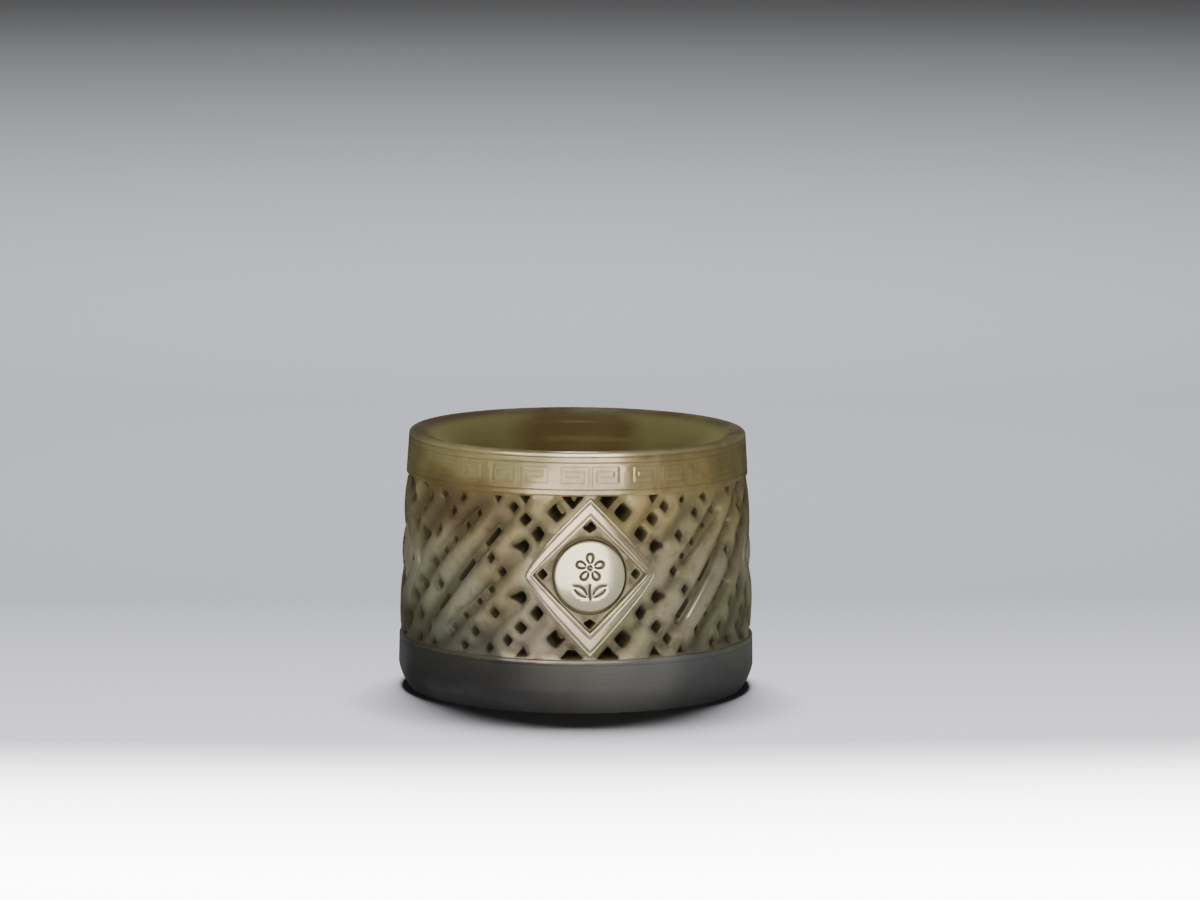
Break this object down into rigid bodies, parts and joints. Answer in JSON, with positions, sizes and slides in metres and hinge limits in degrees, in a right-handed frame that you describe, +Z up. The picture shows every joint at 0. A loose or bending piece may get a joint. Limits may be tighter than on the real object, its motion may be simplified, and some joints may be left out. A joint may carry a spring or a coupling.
{
  "type": "archer's thumb ring",
  "caption": "Thick cylindrical thumb ring carved from jade, with a pierced lattice band, lozenge frames, domed round bosses, a flared mouth and a flat foot.",
  "frame": {"origin": "centre of the flat foot's plane, on the thumb hole's axis", "axes": "+Z up along the thumb hole's axis towards the flared mouth, -Y towards the front lozenge side, +X right"},
  "size_m": [0.033, 0.033, 0.024],
  "materials": {
    "jade": "polished grey-green and brown jade, darkening to charcoal grey at the foot"
  },
  "bodies": {
    "root": {"carved_ring": "jade"}
  },
  "joints": []
}
